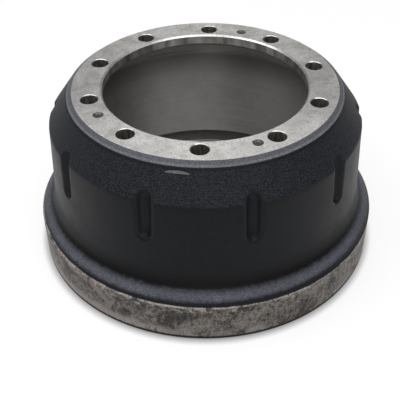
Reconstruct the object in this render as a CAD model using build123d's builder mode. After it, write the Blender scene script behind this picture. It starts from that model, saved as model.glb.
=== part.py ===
from build123d import *
import math
import os

os.makedirs("parts", exist_ok=True)

# A cast-iron brake drum for a ten-stud truck hub, in millimetres.
# It stands on its open rim. The origin is the centre of the rim's face, +Z points to the mounting face.
# It is one casting: mounting flange, sloping shoulder, drum wall, flare and reinforced rim.

# Driving sizes: overall height, brake track and the walls round it
overall_height = 258.0
brake_radius = 205.0
brake_bottom_height = 37.5
brake_lead_chamfer = 2.5
cast_relief = 2.0
cast_ring_height = 17.0
knee_wall = 23.0
rim_wall = 52.5
mouth_step = 24.5
mouth_corner_chamfer = 5.0

# Driving sizes: the rim, with a bare turned band below a painted land that leans in
rim_band_height = 61.5
rim_band_chamfer = 1.5
rim_land_height = 6.3
rim_land_angle = 26.0
rim_foot_chamfer = 3.0
rim_mouth_chamfer = 2.0

# Driving sizes: the flare and the drafted drum wall
flare_angle = 48.0
flare_fillet = 24.0
wall_draft_angle = 2.75
knee_drop = 47.0
knee_fillet = 8.0

# Driving sizes: wheel stud holes and small tapped holes, on one pitch circle
stud_pitch_inset = 37.5
stud_count = 10
stud_first_angle = 87.0
stud_hole_radius = 12.5
stud_hole_chamfer = 0.8
tapped_angles = (69.0, -67.0, -150.0)
tapped_core_radius = 5.1
tapped_sink_radius = 7.5
tapped_sink_angle = 90.0

# Driving sizes: mounting flange, hub bore, shoulder and the edge band round the face
flange_thickness = 19.5
bore_land = 19.7
bore_top_chamfer = 2.4
bore_bottom_chamfer = 5.2
face_land = 23.5
edge_band_width = 7.1
edge_band_drop = 5.2
shoulder_wall = 14.0
flange_root_chamfer = 5.0

# Driving sizes: the recesses in the drum wall, midway between the studs
recess_top_drop = 36.7
recess_length = 67.5
recess_floor_width = 11.0
recess_depth = 9.0
recess_lean = 5.4
recess_taper = 28.0

# Driving sizes: the small crescent notch in the shoulder
notch_angle = -100.7
notch_drop = 10.6
notch_ledge = 4.7
notch_tilt = 30.0
notch_arc_radius = 34.0

# Dependent sizes: heights
rim_band_top = rim_band_height + rim_band_chamfer
rim_land_top = rim_band_top + rim_land_height
knee_height = overall_height - knee_drop
shoulder_top_height = overall_height - edge_band_drop
flange_under = overall_height - flange_thickness

# Dependent sizes: radii
knee_radius = brake_radius + knee_wall
rim_radius = brake_radius + rim_wall
band_top_radius = rim_radius - rim_band_chamfer
land_top_radius = band_top_radius - rim_land_height * math.tan(math.radians(rim_land_angle))
mouth_radius = brake_radius + mouth_step
relief_radius = brake_radius + cast_relief
stud_pitch_radius = brake_radius - stud_pitch_inset
bore_radius = stud_pitch_radius - bore_land
face_radius = stud_pitch_radius + face_land
shoulder_top_radius = face_radius + edge_band_width
stud_step = 360.0 / stud_count

# Where the flare cone meets the drafted wall
wall_slope = math.tan(math.radians(wall_draft_angle))
flare_slope = math.tan(math.radians(flare_angle))
flare_run = land_top_radius - knee_radius - (knee_height - rim_land_top) * wall_slope
flare_rise = flare_run / (flare_slope - wall_slope)
flare_top_height = rim_land_top + flare_rise
flare_top_radius = land_top_radius - flare_rise * flare_slope

# Where the inside of the shoulder meets the flange and the raw ring above the brake track
shoulder_slope = (knee_radius - shoulder_top_radius) / (shoulder_top_height - knee_height)
shoulder_offset = shoulder_wall * math.hypot(1, shoulder_slope)
inner_top_radius = shoulder_top_radius + (shoulder_top_height - flange_under) * shoulder_slope
inner_top_radius = inner_top_radius - shoulder_offset
crown_height = flange_under - (relief_radius - inner_top_radius) / shoulder_slope
brake_top_height = crown_height - cast_ring_height

# The recess floor, a plane that leans inwards towards the top
recess_mid_height = overall_height - recess_top_drop - recess_length / 2
recess_foot_height = overall_height - recess_top_drop - recess_length
recess_foot_radius = knee_radius + (knee_height - recess_foot_height) * wall_slope - recess_depth
lean = math.radians(recess_lean)
recess_mid_radius = recess_foot_radius - math.tan(lean) * recess_length / 2
recess_plane = Plane(
    origin=(recess_mid_radius, 0, recess_mid_height),
    x_dir=(0, 1, 0),
    z_dir=(math.cos(lean), 0, math.sin(lean)),
)
recess_reach = knee_wall

# The ledge of the crescent notch, a plane that falls away outwards
tilt = math.radians(notch_tilt)
notch_height = overall_height - notch_drop
notch_lip_drop = shoulder_top_height - notch_height + notch_ledge * math.sin(tilt)
notch_radius = shoulder_top_radius + notch_lip_drop * shoulder_slope - notch_ledge * math.cos(tilt)
notch_plane = Plane(
    origin=(notch_radius, 0, notch_height),
    x_dir=(math.cos(tilt), 0, -math.sin(tilt)),
    z_dir=(math.sin(tilt), 0, math.cos(tilt)),
)

# Cutter for one recess: a tall stadium whose sides open outwards
with BuildPart() as recess_tool:
    with BuildSketch(recess_plane):
        SlotOverall(recess_length, recess_floor_width, rotation=90)
    extrude(amount=recess_reach, taper=-recess_taper)

# Cutter for the crescent notch: a round-backed ledge, open upwards and outwards
with BuildPart() as notch_tool:
    with BuildSketch(notch_plane):
        with Locations((notch_arc_radius, 0)):
            Circle(notch_arc_radius)
    extrude(amount=notch_drop, dir=(0, 0, 1))

with BuildPart() as brake_drum:
    # The turned section, from the rim's mouth round the outside and back down the inside
    with BuildSketch(Plane.XZ):
        with BuildLine():
            FilletPolyline(
                (mouth_radius + rim_mouth_chamfer, 0),
                (rim_radius - rim_foot_chamfer, 0),
                (rim_radius, rim_foot_chamfer),
                (rim_radius, rim_band_height),
                (band_top_radius, rim_band_top),
                (land_top_radius, rim_land_top),
                (flare_top_radius, flare_top_height),
                (knee_radius, knee_height),
                (shoulder_top_radius, shoulder_top_height),
                (face_radius, overall_height),
                (bore_radius + bore_top_chamfer, overall_height),
                (bore_radius, overall_height - bore_top_chamfer),
                (bore_radius, flange_under + bore_bottom_chamfer),
                (bore_radius + bore_bottom_chamfer, flange_under),
                (inner_top_radius - flange_root_chamfer, flange_under),
                (inner_top_radius + flange_root_chamfer * shoulder_slope, flange_under - flange_root_chamfer),
                (relief_radius, crown_height),
                (relief_radius, brake_top_height + cast_relief),
                (brake_radius, brake_top_height),
                (brake_radius, brake_bottom_height + brake_lead_chamfer),
                (brake_radius + brake_lead_chamfer, brake_bottom_height),
                (mouth_radius - mouth_corner_chamfer, brake_bottom_height),
                (mouth_radius, brake_bottom_height - mouth_corner_chamfer),
                (mouth_radius, rim_mouth_chamfer),
                radius=(
                    *(0, 0, 0, 0, 0, 0),
                    flare_fillet,
                    knee_fillet,
                    *(0, 0, 0, 0, 0, 0, 0, 0, 0, 0, 0, 0, 0, 0, 0, 0),
                ),
                close=True,
            )
        make_face()
    revolve(axis=Axis.Z)

    # Recesses round the wall, midway between the studs
    with PolarLocations(0, stud_count, start_angle=stud_first_angle + stud_step / 2):
        add(recess_tool.part, mode=Mode.SUBTRACT)

    # The crescent notch
    with PolarLocations(0, 1, start_angle=notch_angle):
        add(notch_tool.part, mode=Mode.SUBTRACT)

    # Wheel stud holes through the flange
    with Locations((0, 0, overall_height)):
        with PolarLocations(stud_pitch_radius, stud_count, start_angle=stud_first_angle):
            Hole(stud_hole_radius, depth=flange_thickness)
    stud_rims = brake_drum.faces().sort_by(Axis.Z)[-1].edges().filter_by(GeomType.CIRCLE)
    stud_rims = stud_rims.filter_by(lambda edge: math.isclose(edge.radius, stud_hole_radius))
    chamfer(stud_rims, length=stud_hole_chamfer)

    # Small tapped holes, countersunk, between the studs
    for tapped_angle in tapped_angles:
        with Locations((0, 0, overall_height)):
            with PolarLocations(stud_pitch_radius, 1, start_angle=tapped_angle):
                CounterSinkHole(
                    tapped_core_radius,
                    tapped_sink_radius,
                    depth=flange_thickness,
                    counter_sink_angle=tapped_sink_angle,
                )

brake_drum.part.label = "brake_drum"
export_step(brake_drum.part, "parts/brake_drum.step")
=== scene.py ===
import math

import bmesh
import bpy
import numpy as np
from mathutils import Matrix, Vector, noise


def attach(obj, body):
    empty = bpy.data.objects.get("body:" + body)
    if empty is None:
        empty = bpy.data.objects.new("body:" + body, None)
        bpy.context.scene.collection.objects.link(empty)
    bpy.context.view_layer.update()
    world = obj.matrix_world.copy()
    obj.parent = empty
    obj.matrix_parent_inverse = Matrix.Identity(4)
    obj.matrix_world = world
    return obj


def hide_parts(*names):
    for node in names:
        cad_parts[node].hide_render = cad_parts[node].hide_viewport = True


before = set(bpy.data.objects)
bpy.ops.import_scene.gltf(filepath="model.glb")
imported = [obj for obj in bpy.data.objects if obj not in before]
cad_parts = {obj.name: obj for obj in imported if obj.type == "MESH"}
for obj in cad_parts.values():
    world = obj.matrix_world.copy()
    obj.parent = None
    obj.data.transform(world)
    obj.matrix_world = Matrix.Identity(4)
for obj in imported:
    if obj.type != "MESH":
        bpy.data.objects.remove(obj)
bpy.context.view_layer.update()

# ---------------------------------------------------------------- sizes in mm and degrees, as in the CAD source
HEIGHT = 258.0
BRAKE_R = 205.0
BRAKE_LOW = 37.5
BRAKE_LEAD = 2.5
RELIEF_R = 207.0
CAST_RING = 17.0
MOUTH_R = 229.5
RIM_R = 257.5
BAND_TOP = 61.5
BAND_EDGE = 1.5
LAND_RISE = 6.3
LAND_DEG = 26.0
FOOT = 3.0
MOUTH_EDGE = 2.0
FLARE_DEG = 48.0
DRAFT_DEG = 2.75
KNEE_R = 228.0
KNEE_Z = 211.0
SHOULDER_R = 198.1
SHOULDER_Z = 252.8
SHOULDER_WALL = 14.0
FACE_R = 191.0
BORE_R = 147.8
BORE_EDGE = 2.4
BORE_FOOT = 5.2
FLANGE_Z = 238.5
PITCH_R = 167.5
STUDS = 10
STUD_FIRST = 87.0
STUD_R = 12.5
STUD_EDGE = 0.8
TAPPED = (69.0, -67.0, -150.0)
TAP_R = 5.1
TAP_SINK_R = 7.5
RECESS_TOP = 221.3
RECESS_LEN = 67.5
RECESS_W = 11.0
RECESS_DEPTH = 9.0
RECESS_LEAN = 5.4
NOTCH_DEG = -100.7
NOTCH_Z = 247.4
NOTCH_LEDGE = 4.7
NOTCH_TILT = 30.0
NOTCH_ARC = 39.3

# ---------------------------------------------------------------- sizes that only this mesh has
# Rounding of the profile's corners, from the rim up, down the inside and in the mouth, and the arcs' steps
SKIN_CORNERS = (0, 1.0, 7.0, 24.0, 8.0, 1.4, 0)
SKIN_ARC_STEP = 0.2
CROWN_CORNERS = (0, 7.0, 20.0, 0)
CROWN_ARC_STEP = 2.5
MOUTH_CORNERS = (0, 6.0, 0)
MOUTH_ARC_STEP = 2.0
TRACK_STEP = 2.0

# The recesses' softer section: radius of the bowl, slope of the sides in degrees, and width of the lip
RECESS_BOWL = 9.0
RECESS_BOWL_DEG = 60.0
RECESS_LIP = 4.05
LIP_SHARE = 0.45
LEAST_ROOM = 0.02
# Where its rings lie: outside the lip, over the lip, and down the side to the floor
SKIN_STEPS = (0.35, 0.68, 0.9)
LIP_STEPS = (0.0, 0.2, 0.4, 0.6, 0.8, 1.0)
SIDE_STEPS = (0.84, 0.68, 0.52, 0.36, 0.2, 0.08, 0.0)
# Heights between which the skin is looked for, and how often each search closes in
SEARCH = (-25.0, 45.0)
HALVINGS = 34
BRIM_ROUNDS = 24
LEDGE_ROUNDS = 30

# The casting's slow swells: where on the skin they act, how they fade, and the height and breadth of each
SWELL_LOW = 63.2
SWELL_HIGH = 243.0
SWELL_START = 68.0
SWELL_GROW = 12.0
SWELL_END = 6.0
SWELL_BROAD = (0.16, 34.0)
SWELL_SMALL = (0.07, 11.0)
SWELL_INWARD = 0.05

# The mesh runs round in even columns; holes and recesses are let into blocks of whole cells
COLS = 480
STEP = 360.0 / COLS
SKIN_SPACING = 2.4
BAND_ROWS = 17
TRACK_ROWS = 8
FOOT_ROWS = (238.0, 246.0)
FACE_MARGIN_ROWS = (188.6, 185.6)
FACE_ROWS = [181.7, 179.6, 177.5, 174.2, 170.9, 167.5, 164.1, 160.8, 157.5, 155.4, 153.3]
FACE_INNER_ROW = 151.6
BORE_MID_Z = 250.0
CROWN_START_R = 183.0
CROWN_CORNER = 0.6
STUD_COLS = 8
STUD_BLOCK = (181.7, 153.3)
STUD_MID_Z = 251.0
TAP_COLS = 4.4
TAP_BLOCK = (177.5, 157.5)
TAP_MID_Z = 250.0
PATCH_BELOW = 13.0
PATCH_ABOVE = 11.0
PATCH_HALF_COLS = 7
NOTCH_REACH_RAD = 0.3
NOTCH_REACH = 19.0
# The bare band's look reaches up to here, and works out for itself where the paint begins
BAND_SLOT_TOP = 66.5
# In metres and degrees: points this close are one, edges this short go, and bends over this stay sharp
WELD = 0.00002
SLIVER = 0.00001
SHARP_DEG = 28

rad = math.radians
drop = math.tan(rad(DRAFT_DEG))
flare = math.tan(rad(FLARE_DEG))
shoulder = (KNEE_R - SHOULDER_R) / (SHOULDER_Z - KNEE_Z)


# ---------------------------------------------------------------- the turned profile
def rounded(points, radii, arc_step):
    """A polyline whose corners are arcs of the given radii."""
    out = []
    for i, p in enumerate(points):
        p = np.array(p, float)
        r = radii[i]
        if r <= 0 or i in (0, len(points) - 1):
            out.append(p)
            continue
        a = np.array(points[i - 1], float) - p
        b = np.array(points[i + 1], float) - p
        a /= np.linalg.norm(a)
        b /= np.linalg.norm(b)
        half = math.acos(np.clip(a @ b, -1, 1)) / 2
        cut = r / math.tan(half)
        centre = p + (a + b) / np.linalg.norm(a + b) * r / math.sin(half)
        s, e = p + a * cut - centre, p + b * cut - centre
        turn = math.pi - 2 * half
        n = max(2, int(math.ceil(turn * r / arc_step)))
        for k in range(n + 1):
            t = k / n
            v = s * math.sin((1 - t) * turn) / math.sin(turn) + e * math.sin(t * turn) / math.sin(turn)
            out.append(centre + v)
    return np.array(out)


PAINT_R = RIM_R - BAND_EDGE
PAINT_Z = BAND_TOP + BAND_EDGE
LAND_R = PAINT_R - LAND_RISE * math.tan(rad(LAND_DEG))
LAND_Z = PAINT_Z + LAND_RISE
rise = (LAND_R - KNEE_R - (KNEE_Z - LAND_Z) * drop) / (flare - drop)
FLARE_Z = LAND_Z + rise
FLARE_R = LAND_R - rise * flare
skin = rounded(
    [
        (RIM_R, BAND_TOP),
        (PAINT_R, PAINT_Z),
        (LAND_R, LAND_Z),
        (FLARE_R, FLARE_Z),
        (KNEE_R, KNEE_Z),
        (SHOULDER_R, SHOULDER_Z),
        (FACE_R, HEIGHT),
    ],
    SKIN_CORNERS,
    SKIN_ARC_STEP,
)


def skin_r(z):
    """Radius of the outside skin at a height, from the painted land up to the face's edge."""
    return np.interp(z, skin[:, 1], skin[:, 0])


def resample(line, spacing, keep=()):
    """Points along a polyline at about the given spacing, with the heights in keep hit exactly."""
    s = np.concatenate([[0], np.cumsum(np.hypot(*np.diff(line, axis=0).T))])
    marks = [0.0] + [float(np.interp(z, line[:, 1], s)) for z in keep] + [s[-1]]
    marks = sorted(set(round(m, 6) for m in marks))
    at = []
    for a, b in zip(marks[:-1], marks[1:]):
        n = max(1, int(round((b - a) / spacing)))
        at += list(a + (b - a) * np.arange(n) / n)
    at.append(marks[-1])
    return np.column_stack([np.interp(at, s, line[:, 0]), np.interp(at, s, line[:, 1])])


# ---------------------------------------------------------------- rows of the closed section
recess_foot_z = RECESS_TOP - RECESS_LEN
recess_mid_z = RECESS_TOP - RECESS_LEN / 2
wall_at_foot = KNEE_R + (KNEE_Z - recess_foot_z) * drop
lean = rad(RECESS_LEAN)
recess_mid_r = wall_at_foot - RECESS_DEPTH - math.tan(lean) * RECESS_LEN / 2

LEDGE_LOW = NOTCH_Z - NOTCH_LEDGE * math.sin(rad(NOTCH_TILT))
notch_r = SHOULDER_R + (SHOULDER_Z - LEDGE_LOW) * shoulder - NOTCH_LEDGE * math.cos(rad(NOTCH_TILT))
WALL_HIGH = SHOULDER_Z - (notch_r - SHOULDER_R) / shoulder
PATCH_LOW = recess_foot_z - PATCH_BELOW
PATCH_HIGH = RECESS_TOP + PATCH_ABOVE
keeps = (PAINT_Z, PATCH_LOW, PATCH_HIGH, LEDGE_LOW, NOTCH_Z, WALL_HIGH)
outer = resample(skin[skin[:, 1] < HEIGHT - 0.01], SKIN_SPACING, keeps)

inner_top_r = SHOULDER_R + (SHOULDER_Z - FLANGE_Z) * shoulder - SHOULDER_WALL * math.hypot(1, shoulder)
crown_z = FLANGE_Z - (RELIEF_R - inner_top_r) / shoulder
track_top = crown_z - CAST_RING
inside = rounded(
    [
        (CROWN_START_R, FLANGE_Z),
        (inner_top_r + CROWN_CORNER, FLANGE_Z),
        (RELIEF_R, crown_z),
        (RELIEF_R, track_top + TRACK_STEP),
    ],
    CROWN_CORNERS,
    CROWN_ARC_STEP,
)
mouth = rounded(
    [(BRAKE_R + BRAKE_LEAD, BRAKE_LOW), (MOUTH_R, BRAKE_LOW), (MOUTH_R, MOUTH_EDGE)],
    MOUTH_CORNERS,
    MOUTH_ARC_STEP,
)

rows = [(MOUTH_R + MOUTH_EDGE, 0)] + [(r, 0) for r in FOOT_ROWS] + [(RIM_R - FOOT, 0), (RIM_R, FOOT)]
rows += [(RIM_R, z) for z in np.linspace(FOOT, BAND_TOP, BAND_ROWS)[1:-1]]
first_skin = len(rows)
rows += [tuple(p) for p in outer]
last_skin = len(rows) - 1
rows += [(FACE_R, HEIGHT)] + [(r, HEIGHT) for r in FACE_MARGIN_ROWS]
first_face = len(rows)
rows += [(r, HEIGHT) for r in FACE_ROWS]
rows += [(FACE_INNER_ROW, HEIGHT), (BORE_R + BORE_EDGE, HEIGHT), (BORE_R, HEIGHT - BORE_EDGE)]
rows += [(BORE_R, BORE_MID_Z), (BORE_R, FLANGE_Z + BORE_FOOT), (BORE_R + BORE_FOOT, FLANGE_Z)]
last_under = len(rows) + len(FACE_ROWS) - 1
rows += [(r, FLANGE_Z) for r in reversed(FACE_ROWS)]
rows += [tuple(p) for p in inside]
rows += [(BRAKE_R, z) for z in np.linspace(track_top, BRAKE_LOW + BRAKE_LEAD, TRACK_ROWS)]
rows += [tuple(p) for p in mouth]
rows = np.array(rows, float)
N_ROWS = len(rows)


def row_at(z):
    """The skin row at a kept height."""
    return first_skin + int(np.argmin(abs(rows[first_skin : last_skin + 1, 1] - z)))


ang = np.radians(np.arange(COLS) * STEP)
grid = np.zeros((N_ROWS, COLS, 3))
grid[:, :, 0] = rows[:, None, 0] * np.cos(ang)
grid[:, :, 1] = rows[:, None, 0] * np.sin(ang)
grid[:, :, 2] = rows[:, None, 1]

# ---------------------------------------------------------------- the crescent notch: three rows leave the cone
ra, rb, rc = row_at(LEDGE_LOW), row_at(NOTCH_Z), row_at(WALL_HIGH)
tilt = math.tan(rad(NOTCH_TILT))
for i in range(COLS):
    away = ang[i] - rad(NOTCH_DEG)
    away = (away + math.pi) % (2 * math.pi) - math.pi
    side = notch_r * math.sin(away)
    if abs(away) > NOTCH_REACH_RAD or abs(side) > NOTCH_REACH:
        continue
    sag = NOTCH_ARC - math.sqrt(NOTCH_ARC**2 - side**2)
    back_r = notch_r + sag
    back_z = NOTCH_Z - sag * tilt
    # the ledge's outer end, found by closing in on where it meets the cone
    low_z = back_z
    for _ in range(LEDGE_ROUNDS):
        low_r = SHOULDER_R + (SHOULDER_Z - low_z) * shoulder
        low_z = 0.5 * low_z + 0.5 * (NOTCH_Z - (low_r - notch_r) * tilt)
    low_r = SHOULDER_R + (SHOULDER_Z - low_z) * shoulder
    if back_r >= low_r:
        continue
    high_z = SHOULDER_Z - (back_r - SHOULDER_R) / shoulder
    for row, r, z in ((ra, low_r, low_z), (rb, back_r, back_z), (rc, back_r, high_z)):
        grid[row, i] = (r * math.cos(ang[i]), r * math.sin(ang[i]), z)

# ---------------------------------------------------------------- mesh pieces are gathered here
verts = [grid.reshape(-1, 3)]
faces = []
gone = set()
count = N_ROWS * COLS


def at(row, col):
    """The vertex number of a grid place."""
    return (row % N_ROWS) * COLS + col % COLS


def loop_round(j0, j1, i0, i1):
    """Grid places round a block of cells, anticlockwise seen from outside."""
    out = [(j0, i) for i in range(i0, i1)] + [(j, i1) for j in range(j0, j1)]
    out += [(j1, i) for i in range(i1, i0, -1)] + [(j, i0) for j in range(j1, j0, -1)]
    return out


def clear(j0, j1, i0, i1):
    """Takes a block of cells out of the grid."""
    for j in range(j0, j1):
        for i in range(i0, i1):
            gone.add((j, i % COLS))


def add_rings(start, rings, end=None):
    """Joins a loop of vertex numbers to rings of new points, and at last to another loop."""
    global count
    loops = [list(start)]
    for ring in rings:
        verts.append(ring)
        loops.append(list(range(count, count + len(ring))))
        count += len(ring)
    if end is not None:
        loops.append(list(end))
    for a, b in zip(loops[:-1], loops[1:]):
        n = len(a)
        for k in range(n):
            m = (k + 1) % n
            faces.append((a[k], a[m], b[m], b[k]))


# ---------------------------------------------------------------- holes through the flange
def flange_hole(angle, half_cols, inner_rows, profile):
    """One round hole: a block of the face gives way to rings, down the wall and out to the underside."""
    mid = angle / STEP
    i0, i1 = math.floor(mid - half_cols), math.ceil(mid + half_cols)
    top_of = {r: first_face + FACE_ROWS.index(r) for r in FACE_ROWS}
    under_of = {r: last_under - FACE_ROWS.index(r) for r in FACE_ROWS}
    hi_r, lo_r = inner_rows
    j0, j1 = top_of[hi_r], top_of[lo_r]
    loop = loop_round(j0, j1, i0, i1)
    clear(j0, j1, i0, i1)
    clear(under_of[lo_r], under_of[hi_r], i0, i1)
    cx, cy = PITCH_R * math.cos(rad(angle)), PITCH_R * math.sin(rad(angle))
    edge = np.array([grid[j, i % COLS] for j, i in loop])
    a = np.arctan2(edge[:, 1] - cy, edge[:, 0] - cx)
    rings = [
        np.column_stack([cx + r * np.cos(a), cy + r * np.sin(a), np.full(len(a), z)])
        for r, z in profile
    ]
    face_radius = {j: r for r, j in top_of.items()}
    end = [at(under_of[face_radius[j]], i) for j, i in loop]
    add_rings([at(j, i) for j, i in loop], rings, end)


stud_profile = [
    (STUD_R + STUD_EDGE, HEIGHT),
    (STUD_R, HEIGHT - STUD_EDGE),
    (STUD_R, STUD_MID_Z),
    (STUD_R, FLANGE_Z),
]
for k in range(STUDS):
    flange_hole(STUD_FIRST + k * 360.0 / STUDS, STUD_COLS, STUD_BLOCK, stud_profile)
sink = TAP_SINK_R - TAP_R
tapped_profile = [(TAP_SINK_R, HEIGHT), (TAP_R, HEIGHT - sink), (TAP_R, TAP_MID_Z), (TAP_R, FLANGE_Z)]
for angle in TAPPED:
    flange_hole(angle, TAP_COLS, TAP_BLOCK, tapped_profile)


# ---------------------------------------------------------------- recesses in the wall
def recess(centre_deg):
    """One recess: a patch of the wall gives way to rings that close in, over the lip and down."""
    mid = int(round(centre_deg / STEP))
    i0, i1 = mid - PATCH_HALF_COLS, mid + PATCH_HALF_COLS
    j0, j1 = row_at(PATCH_LOW), row_at(PATCH_HIGH)
    loop = loop_round(j0, j1, i0, i1)
    clear(j0, j1, i0, i1)
    turn = rad(centre_deg)
    out_dir = np.array([math.cos(turn) * math.cos(lean), math.sin(turn) * math.cos(lean), math.sin(lean)])
    side_dir = np.array([-math.sin(turn), math.cos(turn), 0.0])
    up_dir = np.cross(out_dir, side_dir)
    origin = np.array([recess_mid_r * math.cos(turn), recess_mid_r * math.sin(turn), recess_mid_z])

    def place(u, v, w):
        """A point across, along and out from the recess's middle."""
        return origin + u[:, None] * side_dir + v[:, None] * up_dir + w[:, None] * out_dir

    def surface(u, v):
        """How far out the wall's skin lies, found by halving."""
        lo, hi = (np.full(len(u), w) for w in SEARCH)
        for _ in range(HALVINGS):
            w = (lo + hi) / 2
            p = place(u, v, w)
            over = np.hypot(p[:, 0], p[:, 1]) > skin_r(p[:, 2])
            hi, lo = np.where(over, w, hi), np.where(over, lo, w)
        return (lo + hi) / 2

    edge = np.array([grid[j, i % COLS] for j, i in loop]) - origin
    eu, ev = edge @ side_dir, edge @ up_dir
    spine = (RECESS_LEN - RECESS_W) / 2
    cv = np.clip(ev, -spine, spine)
    nu, nv = eu, ev - cv
    size = np.hypot(nu, nv)
    nu, nv = nu / size, nv / size

    def ring(rho, w):
        """One ring round the spine at a given width and height, never above the skin."""
        u, v = nu * rho, cv + nv * rho
        return place(u, v, np.minimum(w, surface(u, v)))

    # the section is a round bowl that runs up into straight sides
    steep = rad(RECESS_BOWL_DEG)
    side_rho, side_w = RECESS_BOWL * math.sin(steep), RECESS_BOWL * (1 - math.cos(steep))

    def half_width(w):
        """Half the recess's width at a height over its floor."""
        bowl = np.sqrt(np.maximum(RECESS_BOWL**2 - (RECESS_BOWL - np.minimum(w, side_w)) ** 2, 0))
        return np.where(w > side_w, side_rho + (w - side_w) / math.tan(steep), bowl)

    room = np.full(len(eu), RECESS_DEPTH)
    for _ in range(BRIM_ROUNDS):
        rho = half_width(np.maximum(room, 0))
        room = 0.5 * room + 0.5 * surface(nu * rho, cv + nv * rho)
    room = np.maximum(room, LEAST_ROOM)
    brim = half_width(room)
    lip = np.minimum(RECESS_LIP, room * LIP_SHARE)

    rings = []
    # outside the lip, on the skin
    far = brim + lip
    for t in SKIN_STEPS:
        u, v = eu + (nu * far - eu) * t, ev + (cv + nv * far - ev) * t
        rings.append(place(u, v, surface(u, v)))
    # the lip, a soft bend between the skin and the side
    outer_w = surface(nu * far, cv + nv * far)
    inner_w = room - lip
    inner_rho = half_width(inner_w)
    for t in LIP_STEPS:
        rho = far * (1 - t) ** 2 + 2 * brim * t * (1 - t) + inner_rho * t * t
        w = outer_w * (1 - t) ** 2 + 2 * room * t * (1 - t) + inner_w * t * t
        rings.append(ring(rho, w))
    # down the side and round the bowl to the floor
    for t in SIDE_STEPS:
        rho = inner_rho * t
        on_bowl = RECESS_BOWL - np.sqrt(np.maximum(RECESS_BOWL**2 - np.minimum(rho, side_rho) ** 2, 0))
        on_side = side_w + (rho - side_rho) * math.tan(steep)
        rings.append(ring(rho, np.where(rho > side_rho, on_side, on_bowl)))
    add_rings([at(j, i) for j, i in loop], rings)


for k in range(STUDS):
    recess(STUD_FIRST + (k + 0.5) * 360.0 / STUDS)

for j in range(N_ROWS):
    for i in range(COLS):
        if (j, i) not in gone:
            faces.append((at(j, i), at(j, i + 1), at(j + 1, i + 1), at(j + 1, i)))
points = np.concatenate(verts)


# ---------------------------------------------------------------- slow swells: the casting isn't perfectly true
def swell(p):
    """Moves a point of the outside skin in or out by a fraction of a millimetre."""
    x, y, z = p
    r = math.hypot(x, y)
    if z < SWELL_LOW or z > SWELL_HIGH or r < skin_r(z) - RECESS_DEPTH - 1.0:
        return p
    v = Vector((x, y, z))
    (broad, broad_size), (small, small_size) = SWELL_BROAD, SWELL_SMALL
    amount = broad * noise.noise(v / broad_size) + small * noise.noise(v / small_size + Vector((7, 3, 1)))
    fade = min(1.0, max(0.0, (z - SWELL_START) / SWELL_GROW), (SWELL_HIGH - z) / SWELL_END)
    k = 1 + (amount - SWELL_INWARD) * fade / r
    return (x * k, y * k, z)


points = np.array([swell(p) for p in points]) * 0.001

mesh = bpy.data.meshes.new("drum_casting")
mesh.from_pydata(points.tolist(), [], faces)
bm = bmesh.new()
bm.from_mesh(mesh)
bmesh.ops.remove_doubles(bm, verts=bm.verts, dist=WELD)
bmesh.ops.dissolve_degenerate(bm, edges=bm.edges, dist=SLIVER)
bm.normal_update()
for e in bm.edges:
    e.smooth = len(e.link_faces) == 2 and e.calc_face_angle(0) < rad(SHARP_DEG)
for f in bm.faces:
    f.smooth = True
bm.to_mesh(mesh)
bm.free()
drum = bpy.data.objects.new("drum_casting", mesh)
bpy.context.scene.collection.objects.link(drum)
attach(drum, "root")
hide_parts("brake_drum")

# ---------------------------------------------------------------- node helpers
def math_node(tree, op, *values):
    """A math node; each value is a number or the output of another node."""
    n = tree.nodes.new("ShaderNodeMath")
    n.operation = op
    for socket, value in zip(n.inputs, values):
        if isinstance(value, bpy.types.NodeSocket):
            tree.links.new(value, socket)
        else:
            socket.default_value = value
    return n.outputs[0]


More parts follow.
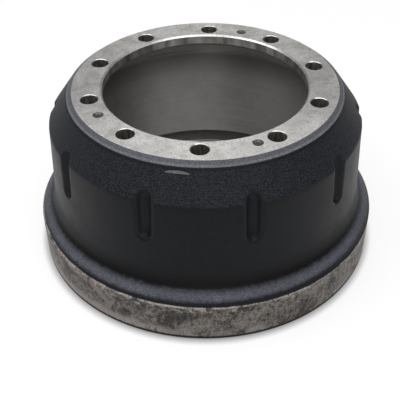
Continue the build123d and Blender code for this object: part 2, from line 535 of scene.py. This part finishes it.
class Nodes:
    """Short calls for building a material's node tree."""

    def __init__(self, name):
        self.mat = bpy.data.materials.new(name)
        self.mat.use_nodes = True
        self.tree = self.mat.node_tree
        self.tree.nodes.clear()
        self.out = self.tree.nodes.new("ShaderNodeOutputMaterial")
        self.bsdf = self.tree.nodes.new("ShaderNodeBsdfPrincipled")
        self.tree.links.new(self.bsdf.outputs[0], self.out.inputs[0])
        geo = self.tree.nodes.new("ShaderNodeNewGeometry")
        self.pos = geo.outputs["Position"]
        sep = self.tree.nodes.new("ShaderNodeSeparateXYZ")
        self.link(self.pos, sep.inputs[0])
        self.x, self.y, self.z = sep.outputs
        self.r = self.math("SQRT", self.plus(self.times(self.x, self.x), self.times(self.y, self.y)))
        self.turn = self.math("ARCTAN2", self.y, self.x)

    def link(self, a, b):
        self.tree.links.new(a, b)

    def put(self, socket, value):
        if isinstance(value, bpy.types.NodeSocket):
            self.link(value, socket)
        else:
            socket.default_value = value

    def math(self, op, *values):
        return math_node(self.tree, op, *values)

    def plus(self, a, b):
        return self.math("ADD", a, b)

    def minus(self, a, b):
        return self.math("SUBTRACT", a, b)

    def times(self, a, b):
        return self.math("MULTIPLY", a, b)

    def ramp(self, value, low, high, to_low=0.0, to_high=1.0):
        """A smooth step from to_low to to_high as the value goes from low to high."""
        n = self.tree.nodes.new("ShaderNodeMapRange")
        n.interpolation_type = "SMOOTHSTEP"
        self.put(n.inputs["Value"], value)
        n.inputs["From Min"].default_value = low
        n.inputs["From Max"].default_value = high
        n.inputs["To Min"].default_value = to_low
        n.inputs["To Max"].default_value = to_high
        return n.outputs[0]

    def between(self, value, rise, fall):
        """One inside a range of the value and nought outside it, with a soft rise and a soft fall."""
        return self.times(self.ramp(value, *rise), self.ramp(value, *fall))

    def vector(self, x, y, z):
        n = self.tree.nodes.new("ShaderNodeCombineXYZ")
        for s, v in zip(n.inputs, (x, y, z)):
            self.put(s, v)
        return n.outputs[0]

    def noise(self, scale, detail=3.0, rough=0.55, at=None, warp=0.0):
        n = self.tree.nodes.new("ShaderNodeTexNoise")
        n.inputs["Scale"].default_value = scale
        n.inputs["Detail"].default_value = detail
        n.inputs["Roughness"].default_value = rough
        n.inputs["Distortion"].default_value = warp
        self.link(at if at is not None else self.pos, n.inputs["Vector"])
        return n.outputs["Fac"]

    def mix(self, fac, a, b):
        """A mix of two colours."""
        n = self.tree.nodes.new("ShaderNodeMix")
        n.data_type = "RGBA"
        self.put(n.inputs[0], fac)
        for s, v in ((n.inputs[6], a), (n.inputs[7], b)):
            self.put(s, v if isinstance(v, bpy.types.NodeSocket) else (*v, 1.0))
        return n.outputs[2]

    def mixf(self, fac, a, b):
        """A mix of two numbers."""
        n = self.tree.nodes.new("ShaderNodeMix")
        n.data_type = "FLOAT"
        self.put(n.inputs[0], fac)
        self.put(n.inputs[2], a)
        self.put(n.inputs[3], b)
        return n.outputs[0]

    def bump(self, height, distance, strength=1.0, normal=None):
        n = self.tree.nodes.new("ShaderNodeBump")
        n.inputs["Distance"].default_value = distance
        n.inputs["Strength"].default_value = strength
        self.link(height, n.inputs["Height"])
        if normal is not None:
            self.link(normal, n.inputs["Normal"])
        return n.outputs[0]

    def turned(self, amount):
        """Turning lines run round the axis, so the gloss stretches across them."""
        n = self.tree.nodes.new("ShaderNodeTangent")
        n.direction_type = "RADIAL"
        n.axis = "Z"
        self.link(n.outputs[0], self.bsdf.inputs["Tangent"])
        self.bsdf.inputs["Anisotropic"].default_value = amount
        self.bsdf.inputs["Anisotropic Rotation"].default_value = 0.25

    def set(self, **values):
        for k, v in values.items():
            self.put(self.bsdf.inputs[k.replace("_", " ")], v)


# ---------------------------------------------------------------- materials
# Zones of the painted skin by height, in metres: where each rises, and where it falls away again; the crease,
# valley and under-edge zones hold painted shade, the bead and edge-corner zones a painted highlight
SHOULDER_STARTS = (0.2090, 0.2112)
EDGE_BAND_STARTS = (0.2512, 0.2534)
LAND_STRIP = (0.0760, 0.0680)
CREASE_SHADE = ((0.1990, 0.2060), (0.2125, 0.2090))
BEAD_HIGHLIGHT = ((0.0668, 0.0722), (0.0824, 0.0738))
VALLEY_SHADE = ((0.0790, 0.0830), (0.1050, 0.0900))
UNDER_EDGE_SHADE = ((0.2475, 0.2495), (0.2530, 0.2518))
EDGE_CORNER_HIGHLIGHT = ((0.2518, 0.2526), (0.2550, 0.2536))
ZONE_WAVER = 0.004

# Heights inside, in metres: where the track is coloured darker towards its top as painted shade, and where the
# cast ring, coloured paler than the raw casting as painted light, takes over
TRACK_TOP_SHADE = (0.195, 0.145)
TRACK_CAST = (0.1930, 0.2035)

# The bare band, in metres: the paint's edge, its fall per metre of x and its wander, how far below it the
# bright line and the chips reach, the heights of the pale patches and of the painted shade at the foot, and the
# edge's softness
PAINT_EDGE = 0.0628
PAINT_EDGE_LEAN = 0.006
PAINT_EDGE_WANDER = 0.003
EDGE_LINE = (0.0030, 0.0012)
CHIPS = (0.0150, 0.0030)
LOW_PATCHES = (0.026, 0.012)
FOOT_SHADE = (0.0080, 0.0064)
PAINTED = (0.0002, -0.0004)

MATT_SPECULAR = 0.16
METAL_SPECULAR = 0.5


def painted_casting():
    """Blue-black paint: smooth on the wall, sandy on the shoulder; paler on the bead and on the edge band's
    lower rounding as painted highlight, and darker below the knee, under that rounding and in the hollow above
    the flare as painted shade.
    """
    m = Nodes("black_painted_casting")
    height = m.plus(m.z, m.times(m.minus(m.noise(160, 2), 0.5), ZONE_WAVER))
    on_shoulder = m.ramp(height, *SHOULDER_STARTS)
    crease_shade = m.between(height, *CREASE_SHADE)
    bead = m.between(height, *BEAD_HIGHLIGHT)
    valley_shade = m.between(height, *VALLEY_SHADE)
    under_edge_shade = m.between(m.z, *UNDER_EDGE_SHADE)
    strip = m.ramp(height, *LAND_STRIP)
    edge_band = m.ramp(m.z, *EDGE_BAND_STARTS)
    corner_highlight = m.between(m.z, *EDGE_CORNER_HIGHLIGHT)

    fine = m.noise(760, 3, 0.75)
    grain = m.noise(420, 3, 0.65)
    patch = m.noise(38, 3, 0.6)
    sand = m.ramp(m.plus(m.times(fine, 0.75), m.times(grain, 0.25)), 0.44, 0.60)

    wall = m.mix(m.ramp(patch, 0.3, 0.7), (0.0006, 0.0012, 0.0026), (0.0022, 0.0030, 0.0050))
    wall = m.mix(m.times(m.ramp(fine, 0.52, 0.62), 0.40), wall, (0.026, 0.027, 0.031))
    sandy = m.mix(sand, (0.0010, 0.0014, 0.0030), (0.0290, 0.0305, 0.0385))
    # the bead's painted highlight, mottled by the sand
    tone_mottle = m.times(sand, m.ramp(patch, 0.25, 0.75, 0.6, 1.15))
    bead_highlight_tone = m.mix(tone_mottle, (0.050, 0.053, 0.067), (0.140, 0.145, 0.170))
    band_tone = m.mix(sand, (0.058, 0.060, 0.070), (0.130, 0.131, 0.147))
    strip_tone = m.mix(sand, (0.0070, 0.0078, 0.0110), (0.0160, 0.0170, 0.0215))
    # painted highlight on the edge band's lower rounding
    corner_highlight_tone = m.mix(sand, (0.110, 0.112, 0.125), (0.240, 0.242, 0.262))

    colour = m.mix(on_shoulder, wall, sandy)
    # painted shade: darker in the crease below the knee and under the edge band's lower rounding
    colour = m.mix(m.math("MAXIMUM", crease_shade, m.times(under_edge_shade, 0.65)), colour, (0.0022, 0.0026, 0.0036))
    # painted shade: darker in the valley above the flare
    colour = m.mix(valley_shade, colour, (0.0010, 0.0012, 0.0018))
    colour = m.mix(strip, colour, strip_tone)
    # painted highlight: paler on the bead
    colour = m.mix(bead, colour, bead_highlight_tone)
    colour = m.mix(edge_band, colour, band_tone)
    # painted highlight: paler on the edge band's lower rounding
    colour = m.mix(m.times(corner_highlight, 0.7), colour, corner_highlight_tone)

    rough_cast = m.math("MAXIMUM", on_shoulder, bead)
    smooth_gloss = m.ramp(patch, 0.2, 0.8, 0.42, 0.50)
    sandy_gloss = m.ramp(sand, 0.0, 1.0, 0.52, 0.64)
    m.set(Base_Color=colour, Metallic=0.0, Roughness=m.mixf(rough_cast, smooth_gloss, sandy_gloss))
    m.set(Specular_IOR_Level=MATT_SPECULAR)
    skin_bump = m.bump(fine, 0.00012, 0.4)
    m.set(Normal=m.bump(m.times(grain, m.mixf(rough_cast, 0.06, 1.0)), 0.0007, 0.9, skin_bump))
    return m.mat


def recess_sides_painted_light():
    """The same paint, coloured lighter on the steep sides of the recesses as painted light."""
    m = Nodes("recess_sides_painted_light")
    fine = m.noise(760, 3, 0.75)
    colour = m.mix(m.ramp(fine, 0.35, 0.65), (0.0062, 0.0069, 0.0090), (0.0120, 0.0130, 0.0160))
    m.set(Base_Color=colour, Metallic=0.0, Roughness=0.5, Specular_IOR_Level=MATT_SPECULAR)
    m.set(Normal=m.bump(fine, 0.00012, 0.4))
    return m.mat


def machined_iron():
    """The turned mounting face and its chamfers: satin grey iron with fine rings and faint stains."""
    m = Nodes("turned_face")
    rings = m.noise(1.0, 2, 0.6, at=m.vector(m.times(m.r, 1500), m.times(m.turn, 1.6), m.times(m.z, 1500)))
    stain = m.noise(26, 4, 0.6, warp=0.6)
    cloud = m.noise(9, 2, 0.5)
    freckle = m.noise(360, 3, 0.75)
    smudge = m.noise(110, 4, 0.7, warp=0.5)
    colour = m.mix(m.ramp(stain, 0.3, 0.72), (0.600, 0.585, 0.566), (0.765, 0.752, 0.735))
    colour = m.mix(m.times(m.ramp(cloud, 0.45, 0.75), 0.25), colour, (0.40, 0.385, 0.365))
    colour = m.mix(m.times(m.ramp(freckle, 0.44, 0.60), 0.50), colour, (0.40, 0.39, 0.38))
    colour = m.mix(m.times(m.ramp(smudge, 0.50, 0.64), 0.50), colour, (0.36, 0.35, 0.33))
    m.set(Base_Color=colour, Metallic=0.85, Specular_IOR_Level=METAL_SPECULAR)
    m.set(Roughness=m.plus(m.ramp(stain, 0.3, 0.7, 0.22, 0.30), m.times(rings, 0.06)))
    m.turned(0.6)
    m.set(Normal=m.bump(rings, 0.00003, 0.35))
    return m.mat


def brake_track():
    """The turned braking surface with its fine lines, darker towards its top as painted shade, and the cast
    ring above it, paler than the raw casting as painted light.
    """
    m = Nodes("brake_track")
    lines = m.noise(1.0, 2, 0.6, at=m.vector(m.times(m.z, 900), m.times(m.turn, 1.2), 0.0))
    stain = m.noise(20, 3, 0.6)
    colour = m.mix(m.ramp(lines, 0.35, 0.65), (0.365, 0.352, 0.338), (0.41, 0.397, 0.383))
    colour = m.mix(m.times(m.ramp(stain, 0.4, 0.7), 0.3), colour, (0.29, 0.268, 0.242))
    # painted shade: darker towards the top of the track
    colour = m.mix(m.ramp(m.z, *TRACK_TOP_SHADE), (0.255, 0.245, 0.232), colour)
    # painted light: the cast ring coloured paler than the raw casting
    cast = m.mix(m.noise(300, 3, 0.6), (0.46, 0.428, 0.390), (0.64, 0.600, 0.555))
    colour = m.mix(m.ramp(m.z, *TRACK_CAST), colour, cast)
    m.set(Base_Color=colour, Metallic=0.9)
    m.set(Roughness=m.ramp(stain, 0.3, 0.7, 0.56, 0.64))
    m.turned(0.9)
    m.set(Normal=m.bump(lines, 0.00002, 0.5))
    return m.mat


def tapped_wall():
    """The threads of the three small tapped holes."""
    m = Nodes("tapped_wall")
    turns = m.noise(1.0, 1, 0.5, at=m.vector(0.0, 0.0, m.times(m.z, 900)))
    colour = m.mix(m.ramp(turns, 0.40, 0.60), (0.12, 0.115, 0.11), (0.52, 0.51, 0.50))
    m.set(Base_Color=colour, Metallic=0.6, Roughness=0.45)
    m.set(Normal=m.bump(turns, 0.0005, 0.8))
    return m.mat


def bore_wall():
    """The turned hub bore, with upright light and dark streaks in its colour: a painted reflection of the
    streaked gloss of turned metal.
    """
    m = Nodes("bore_wall")
    marks = m.noise(1.0, 2, 0.6, at=m.vector(m.times(m.turn, 7), m.times(m.z, 12), 4.0))
    # painted reflection: upright light and dark streaks
    colour = m.mix(m.ramp(marks, 0.34, 0.68), (0.15, 0.145, 0.138), (0.40, 0.39, 0.375))
    m.set(Base_Color=colour, Metallic=0.9)
    m.set(Roughness=m.ramp(marks, 0.3, 0.7, 0.50, 0.60))
    m.turned(0.9)
    return m.mat


def raw_casting():
    """Unpainted sand-cast iron inside the crown and the mouth."""
    m = Nodes("raw_casting")
    grain = m.noise(420, 4, 0.7)
    stain = m.noise(18, 3, 0.6)
    colour = m.mix(m.ramp(grain, 0.3, 0.7), (0.200, 0.188, 0.173), (0.360, 0.340, 0.312))
    colour = m.mix(m.times(m.ramp(stain, 0.5, 0.75), 0.35), colour, (0.170, 0.135, 0.105))
    m.set(Base_Color=colour, Metallic=0.25, Roughness=m.ramp(grain, 0.3, 0.7, 0.55, 0.75))
    m.set(Normal=m.bump(grain, 0.0006, 0.7))
    return m.mat


def bare_band():
    """The turned rim, left bare: mottled iron, bright chips along the paint, pale patches low down, and painted
    shade along its lowest edge.
    """
    m = Nodes("bare_rim_band")
    around = m.times(m.turn, RIM_R / 1000.0)

    def unrolled(across, up, salt):
        """Places on the unrolled band at two scales; the salt gives each noise its own pattern."""
        return m.vector(m.times(around, across), m.times(m.z, up), salt)

    # mottling: streaks, blotches and grain
    streak = m.noise(1.0, 5, 0.75, at=unrolled(170, 130, 3.0), warp=0.4)
    blotch = m.noise(1.0, 4, 0.65, at=unrolled(26, 26, 0.0), warp=0.8)
    fine = m.noise(520, 3, 0.75)
    speck = m.plus(m.times(streak, 0.42), m.plus(m.times(fine, 0.30), m.times(blotch, 0.28)))
    colour = m.mix(m.ramp(speck, 0.435, 0.565), (0.022, 0.020, 0.018), (0.235, 0.212, 0.194))
    colour = m.mix(m.times(m.ramp(blotch, 0.52, 0.40), 0.55), colour, (0.030, 0.0275, 0.025))

    # fine scratches round the band
    marks = m.noise(1.0, 3, 0.7, at=unrolled(55, 800, 6.0))
    colour = m.mix(m.times(m.ramp(marks, 0.50, 0.66), 0.40), colour, (0.250, 0.228, 0.208))

    # pale patches low down, more of them towards the left
    low = m.times(m.ramp(m.z, *LOW_PATCHES), m.ramp(m.x, 0.02, -0.12, 0.60, 1.0))
    pale = m.plus(m.noise(1.0, 3, 0.6, at=unrolled(26, 22, 9.0)), m.ramp(m.x, -0.10, -0.18, 0.0, 0.10))
    low = m.times(low, m.ramp(pale, 0.48, 0.53))
    low_tone = m.mix(m.ramp(fine, 0.35, 0.65), (0.26, 0.228, 0.212), (0.46, 0.418, 0.398))
    colour = m.mix(m.times(low, 0.75), colour, low_tone)

    # the paint's edge, with a bright line and chips under it
    drift = m.noise(1.0, 3, 0.6, at=m.vector(m.times(around, 45), 5.0, 0.0))
    wander = m.times(m.minus(drift, 0.5), PAINT_EDGE_WANDER)
    limit = m.plus(m.minus(PAINT_EDGE, m.times(m.x, PAINT_EDGE_LEAN)), wander)
    from_paint = m.minus(limit, m.z)
    broken = m.noise(1.0, 3, 0.7, at=m.vector(m.times(around, 60), 8.0, 2.0))
    edge_line = m.times(m.ramp(from_paint, *EDGE_LINE), m.ramp(broken, 0.44, 0.56))
    flakes = m.noise(1.0, 4, 0.7, at=unrolled(75, 75, 2.0), warp=0.6)
    chip = m.times(m.ramp(from_paint, *CHIPS), m.ramp(flakes, 0.515, 0.565))
    chip = m.math("MAXIMUM", m.times(edge_line, 0.8), m.times(chip, 0.9))
    chip_tone = m.mix(m.ramp(fine, 0.35, 0.65), (0.22, 0.20, 0.185), (0.50, 0.46, 0.43))
    colour = m.mix(chip, colour, chip_tone)

    # painted shade along the lowest edge, and the strip above the edge that is still painted
    foot = m.ramp(m.plus(m.z, m.times(m.minus(streak, 0.5), 0.004)), *FOOT_SHADE)
    colour = m.mix(m.times(foot, 0.95), colour, (0.014, 0.013, 0.012))
    painted = m.ramp(from_paint, *PAINTED)
    paint_tone = m.mix(m.ramp(fine, 0.40, 0.62), (0.0040, 0.0046, 0.0068), (0.0120, 0.0130, 0.0170))
    colour = m.mix(painted, colour, paint_tone)

    m.set(Base_Color=colour, Metallic=m.mixf(painted, 0.35, 0.0), Specular_IOR_Level=MATT_SPECULAR)
    m.set(Roughness=m.ramp(streak, 0.3, 0.7, 0.46, 0.62))
    m.set(Normal=m.bump(m.plus(m.times(streak, 0.6), m.times(fine, 0.4)), 0.0004, 0.6))
    return m.mat


def notch_ledge_painted_light():
    """The small crescent ledge on the shoulder, coloured pale as a painted highlight where it faces up."""
    m = Nodes("notch_ledge_painted_light")
    tone_mottle = m.noise(380, 3, 0.7)
    colour = m.mix(m.ramp(tone_mottle, 0.35, 0.65), (0.030, 0.031, 0.037), (0.100, 0.102, 0.110))
    m.set(Base_Color=colour, Metallic=0.0, Roughness=0.5)
    m.set(Normal=m.bump(tone_mottle, 0.0003, 0.6))
    return m.mat


def rim_foot_painted_shade():
    """The edge that the drum stands on, coloured near black as painted shade where it meets the floor."""
    m = Nodes("rim_foot_painted_shade")
    fine = m.noise(500, 3, 0.7)
    colour = m.mix(m.ramp(fine, 0.35, 0.7), (0.012, 0.011, 0.010), (0.045, 0.041, 0.037))
    m.set(Base_Color=colour, Metallic=0.2, Roughness=0.6)
    m.set(Normal=m.bump(fine, 0.0003, 0.6))
    return m.mat


def drilled_wall():
    """The walls of the stud holes: dark, drilled iron with faint tool lines."""
    m = Nodes("drilled_wall")
    lines = m.noise(1.0, 2, 0.6, at=m.vector(m.times(m.x, 420), m.times(m.y, 420), m.times(m.z, 60)))
    colour = m.mix(m.ramp(lines, 0.35, 0.7), (0.050, 0.045, 0.040), (0.150, 0.138, 0.124))
    m.set(Base_Color=colour, Metallic=0.3, Roughness=0.5)
    m.set(Normal=m.bump(lines, 0.0001, 0.5))
    return m.mat


LOOKS = (
    painted_casting,
    machined_iron,
    brake_track,
    raw_casting,
    bare_band,
    rim_foot_painted_shade,
    drilled_wall,
    bore_wall,
    tapped_wall,
    notch_ledge_painted_light,
    recess_sides_painted_light,
)
PAINT, TURNED, TRACK, RAW, BAND, FOOT_EDGE_SHADE, DRILLED, BORE, THREAD, LEDGE_PAINTED_LIGHT, RECESS_SIDES_LIT = range(len(LOOKS))
for look in LOOKS:
    mesh.materials.append(look())

# ---------------------------------------------------------------- which face takes which look
# A later rule wins. Ranges and limits of the rules, in millimetres
RECESS_ZONE = (150.0, 216.0)
RECESS_INMOST = 209.0
RECESS_SUNK = 1.2
HOLE_ZONE = (152.5, 182.5)
CROWN_REACH = 209.0
NOTCH_ZONE = (240.0, 251.0)
NOTCH_INMOST = 199.0
NOTCH_NEAR = 24.0
BAND_INMOST = 250.0
HAIR = 0.2
NEAR_BORE = 0.6
NEAR_TRACK = 2.6
BELOW_FLANGE = 6.0


def inside_of(value, limits):
    """Which values lie between two limits."""
    return (value > limits[0]) & (value < limits[1])


n_faces = len(mesh.polygons)
centre = np.zeros(n_faces * 3)
normal = np.zeros(n_faces * 3)
mesh.polygons.foreach_get("center", centre)
mesh.polygons.foreach_get("normal", normal)
centre, normal = centre.reshape(-1, 3) * 1000.0, normal.reshape(-1, 3)
pr = np.hypot(centre[:, 0], centre[:, 1])
pz = centre[:, 2]
flatness = abs(normal[:, 2])
facing_out = (centre[:, 0] * normal[:, 0] + centre[:, 1] * normal[:, 1]) / pr
facing_round = (centre[:, 0] * normal[:, 1] - centre[:, 1] * normal[:, 0]) / pr
slot = np.full(n_faces, PAINT)

in_recess = inside_of(pz, RECESS_ZONE) & (pr > RECESS_INMOST) & (pr < skin_r(pz) - RECESS_SUNK)
# painted light: the recesses' steep sides take a lighter copy of the paint
slot[in_recess & (abs(facing_round) > 0.4) & (facing_out > 0)] = RECESS_SIDES_LIT
slot[(pz > FLANGE_Z + BORE_FOOT) & (pr < FACE_R)] = TURNED
slot[(pz > FLANGE_Z + HAIR) & inside_of(pr, HOLE_ZONE) & (flatness < 0.4)] = DRILLED
slot[(abs(pr - BORE_R) < NEAR_BORE) & (flatness < 0.3)] = BORE

notch_x, notch_y = notch_r * math.cos(rad(NOTCH_DEG)), notch_r * math.sin(rad(NOTCH_DEG))
near_notch = np.hypot(centre[:, 0] - notch_x, centre[:, 1] - notch_y) < NOTCH_NEAR
# painted highlight: the notch's upward ledge takes a paler colour
slot[near_notch & (pr > NOTCH_INMOST) & inside_of(pz, NOTCH_ZONE) & (normal[:, 2] > 0.75)] = LEDGE_PAINTED_LIGHT

for angle in TAPPED:
    hole_x, hole_y = PITCH_R * math.cos(rad(angle)), PITCH_R * math.sin(rad(angle))
    off = np.hypot(centre[:, 0] - hole_x, centre[:, 1] - hole_y)
    slot[(off < TAP_SINK_R) & (flatness < 0.9)] = DRILLED
    slot[(off < TAP_R + HAIR) & (flatness < 0.4)] = THREAD

slot[(pz < FLANGE_Z + BORE_FOOT) & (pr < BORE_R + BORE_FOOT)] = RAW
in_crown = inside_of(pz, (track_top, FLANGE_Z + HAIR)) & (pr < CROWN_REACH)
slot[in_crown & ((facing_out < -0.02) | (normal[:, 2] < -0.5))] = RAW
on_track = (abs(pr - BRAKE_R) < NEAR_TRACK) & inside_of(pz, (BRAKE_LOW, FLANGE_Z - BELOW_FLANGE))
slot[on_track & (facing_out < -0.3)] = TRACK
slot[(pz < BRAKE_LOW + BRAKE_LEAD + 0.1) & (pr < MOUTH_R + 1.0)] = RAW
slot[(pz < BAND_SLOT_TOP) & (pr > BAND_INMOST) & (facing_out > 0.3)] = BAND
# painted shade: the edge that the drum stands on
slot[(pz < FOOT) & (pr > MOUTH_R + 0.5)] = FOOT_EDGE_SHADE
mesh.polygons.foreach_set("material_index", slot.astype(np.int32))
mesh.update()

# ---------------------------------------------------------------- floor
FLOOR_SIZE = 60.0
FLOOR_SHADE = 0.30
FLOOR_GLOW = 0.70
# a painted contact shadow: the ring round the drum where the floor's glow dims, and how far it dims
CONTACT_SHADOW = (0.256, 0.270)
CONTACT_SHADOW_DIM = 0.30


def pale_paper():
    """Grey to the light and brought up to white for the eye outside the drum, dimmed in a ring round its foot
    as a painted contact shadow.
    """
    paper = bpy.data.materials.new("pale_floor")
    paper.use_nodes = True
    t = paper.node_tree
    t.nodes.clear()
    diffuse = t.nodes.new("ShaderNodeBsdfDiffuse")
    diffuse.inputs["Color"].default_value = (FLOOR_SHADE, FLOOR_SHADE, FLOOR_SHADE, 1)
    glow = t.nodes.new("ShaderNodeEmission")
    glow.inputs["Color"].default_value = (1, 1, 1, 1)
    path = t.nodes.new("ShaderNodeLightPath")
    seen = path.outputs["Is Camera Ray"]
    for ray in ("Is Glossy Ray", "Is Transmission Ray"):
        seen = math_node(t, "MAXIMUM", seen, path.outputs[ray])
    where = t.nodes.new("ShaderNodeNewGeometry")
    length = t.nodes.new("ShaderNodeVectorMath")
    length.operation = "LENGTH"
    t.links.new(where.outputs["Position"], length.inputs[0])
    reach = length.outputs["Value"]
    outside = math_node(t, "GREATER_THAN", reach, MOUTH_R / 1000.0)
    # painted contact shadow
    contact_shadow = t.nodes.new("ShaderNodeMapRange")
    contact_shadow.interpolation_type = "SMOOTHSTEP"
    limits = (("From Min", CONTACT_SHADOW[0]), ("From Max", CONTACT_SHADOW[1]), ("To Min", CONTACT_SHADOW_DIM), ("To Max", 1.0))
    for socket, value in limits:
        contact_shadow.inputs[socket].default_value = value
    t.links.new(reach, contact_shadow.inputs["Value"])
    lit = math_node(t, "MULTIPLY", math_node(t, "MULTIPLY", seen, outside), contact_shadow.outputs["Result"])
    t.links.new(math_node(t, "MULTIPLY", lit, FLOOR_GLOW), glow.inputs["Strength"])
    add = t.nodes.new("ShaderNodeAddShader")
    t.links.new(diffuse.outputs[0], add.inputs[0])
    t.links.new(glow.outputs[0], add.inputs[1])
    out = t.nodes.new("ShaderNodeOutputMaterial")
    t.links.new(add.outputs[0], out.inputs[0])
    return paper


bpy.ops.mesh.primitive_plane_add(size=FLOOR_SIZE, location=(0, 0, 0))
floor = bpy.context.object
floor.name = "floor"
floor.data.materials.append(pale_paper())

# ---------------------------------------------------------------- light
# How high the direction points, 0 at the horizon and below it and 1 straight up, and the grey level there
SKY = ((0.10, 0.95), (0.28, 0.24), (0.61, 0.22), (0.77, 1.30))
SKY_LEAN = 0.15
SKY_SIDES = 0.50


def studio():
    """The world's light by direction: levels by height, tipped towards the back, and dimmer at the sides."""
    world = bpy.data.worlds.new("studio")
    world.use_nodes = True
    t = world.node_tree
    t.nodes.clear()
    sky = t.nodes.new("ShaderNodeBackground")
    where = t.nodes.new("ShaderNodeTexCoord")
    sep = t.nodes.new("ShaderNodeSeparateXYZ")
    t.links.new(where.outputs["Generated"], sep.inputs[0])
    x, y, z = sep.outputs
    levels = t.nodes.new("ShaderNodeValToRGB")
    levels.color_ramp.interpolation = "EASE"
    stops = levels.color_ramp.elements
    for _ in SKY[2:]:
        stops.new(0.5)
    for stop, (place, level) in zip(stops, SKY):
        stop.position, stop.color = place, (level, level, level, 1)
    t.links.new(math_node(t, "MULTIPLY_ADD", y, SKY_LEAN, z), levels.inputs[0])
    sideways = math_node(t, "MULTIPLY", x, x)
    t.links.new(math_node(t, "MULTIPLY_ADD", sideways, -SKY_SIDES, 1.0), sky.inputs["Strength"])
    t.links.new(levels.outputs[0], sky.inputs["Color"])
    out = t.nodes.new("ShaderNodeOutputWorld")
    t.links.new(sky.outputs[0], out.inputs[0])
    return world


def softbox(name, place, aim, size, power):
    """A rectangular lamp that looks at a point."""
    lamp = bpy.data.lights.new(name, "AREA")
    lamp.shape = "RECTANGLE"
    lamp.size, lamp.size_y = size
    lamp.energy = power
    holder = bpy.data.objects.new(name, lamp)
    bpy.context.scene.collection.objects.link(holder)
    holder.location = place
    holder.rotation_euler = (Vector(aim) - Vector(place)).to_track_quat("-Z", "Y").to_euler()


bpy.context.scene.world = studio()
# name, place, the point it looks at, width and height in metres, watts
softbox("left", (-1.25, -0.30, 1.60), (0, 0, 0.1), (1.4, 1.4), 10.0)
softbox("front", (0.40, -1.15, 1.75), (0, 0.1, 0.15), (2.2, 1.0), 16.0)

# ---------------------------------------------------------------- camera, at the photograph's viewing angle
ELEVATION_DEG = 39.0523
ROLL_DEG = -0.76532
EYE_PLACE = (-0.009387, -0.926560, 0.791951)
SENSOR = 36.0
LENS = 66.2699

elev, roll = rad(ELEVATION_DEG), rad(ROLL_DEG)
right = Vector((1, 0, 0))
up = Vector((0, math.sin(elev), math.cos(elev)))
back = Vector((0, -math.cos(elev), math.sin(elev)))
rolled_right = right * math.cos(roll) + up * math.sin(roll)
rolled_up = -right * math.sin(roll) + up * math.cos(roll)
stance = Matrix((rolled_right, rolled_up, back)).transposed().to_4x4()
stance.translation = Vector(EYE_PLACE)
camera = bpy.data.cameras.new("camera")
camera.sensor_width = SENSOR
camera.lens = LENS
eye = bpy.data.objects.new("camera", camera)
eye.matrix_world = stance
bpy.context.scene.collection.objects.link(eye)
bpy.context.scene.camera = eye
bpy.context.scene.view_settings.view_transform = "Standard"
